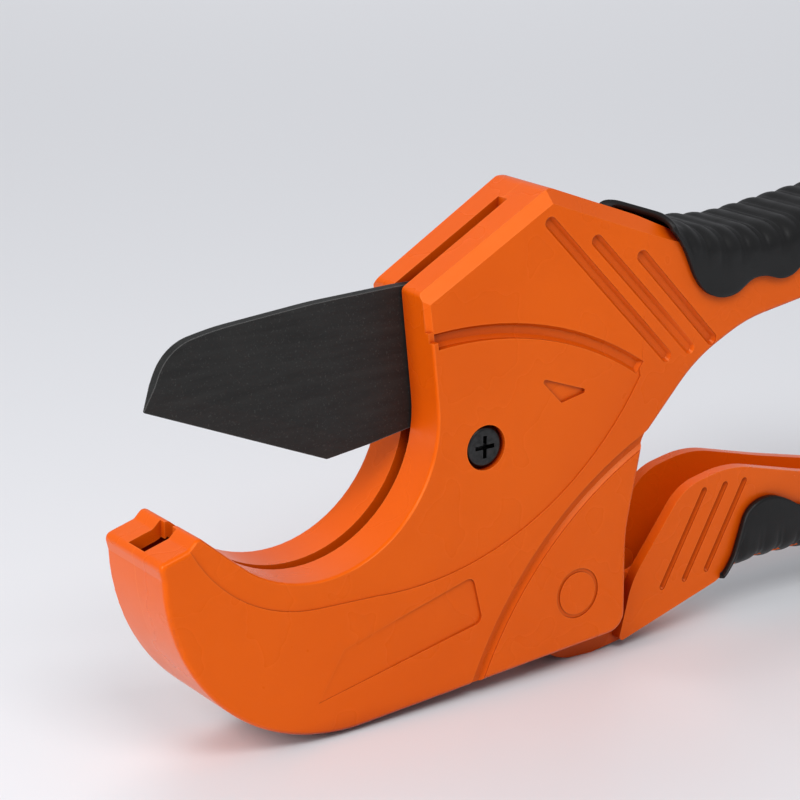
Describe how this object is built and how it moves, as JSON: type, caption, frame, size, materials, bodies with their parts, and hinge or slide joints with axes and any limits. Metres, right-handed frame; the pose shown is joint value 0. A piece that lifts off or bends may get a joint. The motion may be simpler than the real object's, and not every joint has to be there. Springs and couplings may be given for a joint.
{
  "type": "ratchet pipe cutter",
  "caption": "Hand-held ratchet pipe cutter for plastic pipe: a wide curved jaw, a pivoting toothed blade, a fixed handle and a squeezed lever with rubber grips.",
  "frame": {"origin": "on the tool's middle plane, below the centre of its bounding box and level with its lowest point", "axes": "+X from the jaw's nose toward the ends of the handles, +Y from the near side to the far side along the blade's pivot, +Z from the lever up to the fixed handle"},
  "size_m": [0.2759, 0.03, 0.121],
  "materials": {
    "body_paint": "gloss",
    "blade_coat": "satin",
    "black_steel": "satin",
    "bright_steel": "satin",
    "spring_steel": "satin",
    "grip_rubber": "matte"
  },
  "bodies": {
    "body": {"near_body_shell": "body_paint", "far_body_shell": "body_paint", "blade_washers": "bright_steel", "pivot_screw": "black_steel", "pivot_sleeve": "bright_steel", "pivot_nut": "black_steel", "lever_pin": "bright_steel", "lever_washers": "bright_steel", "lever_return_spring": "spring_steel", "holding_pawl_pin": "bright_steel", "holding_pawl_spring": "spring_steel", "blade_stop_pin": "bright_steel", "shell_screws": "black_steel", "lock_pin": "bright_steel", "upper_grip": "grip_rubber"},
    "cutting_blade": {"blade": "blade_coat"},
    "squeeze_lever": {"lever": "body_paint", "lever_grip": "grip_rubber", "drive_pawl_pin": "bright_steel", "drive_pawl_spring": "spring_steel", "lock_hook_pin": "bright_steel"},
    "feed_pawl": {"drive_pawl": "black_steel"},
    "hold_pawl": {"holding_pawl": "black_steel"},
    "lock": {"lock_hook": "bright_steel"}
  },
  "joints": [
    {"name": "blade_pivot", "type": "hinge", "parent": "body", "child": "cutting_blade", "pos_m": [-0.051, 0, 0.0626], "axis": [0, -1, 0], "range_deg": [-36, 36]},
    {"name": "lever_pivot", "type": "hinge", "parent": "body", "child": "squeeze_lever", "pos_m": [-0.018, 0, 0.0146], "axis": [0, -1, 0], "range_deg": [0, 22], "stiffness_Nm_per_rad": 0.8, "springref_deg": -20.05},
    {"name": "drive_pawl_pivot", "type": "hinge", "parent": "squeeze_lever", "child": "feed_pawl", "pos_m": [-0.01, 0, 0.0181], "axis": [0, -1, 0], "range_deg": [-27, 0.5]},
    {"name": "holding_pawl_pivot", "type": "hinge", "parent": "body", "child": "hold_pawl", "pos_m": [-0.01, 0, 0.0596], "axis": [0, -1, 0], "range_deg": [0, 7]},
    {"name": "lock_hook_pivot", "type": "hinge", "parent": "squeeze_lever", "child": "lock", "pos_m": [0.114, 0, 0.0156], "axis": [0, -1, 0], "range_deg": [-96.1, 0]}
  ],
  "couplings": [
    {"joint": "drive_pawl_pivot", "follows": "lever_pivot", "ratio": -1.2}
  ]
}
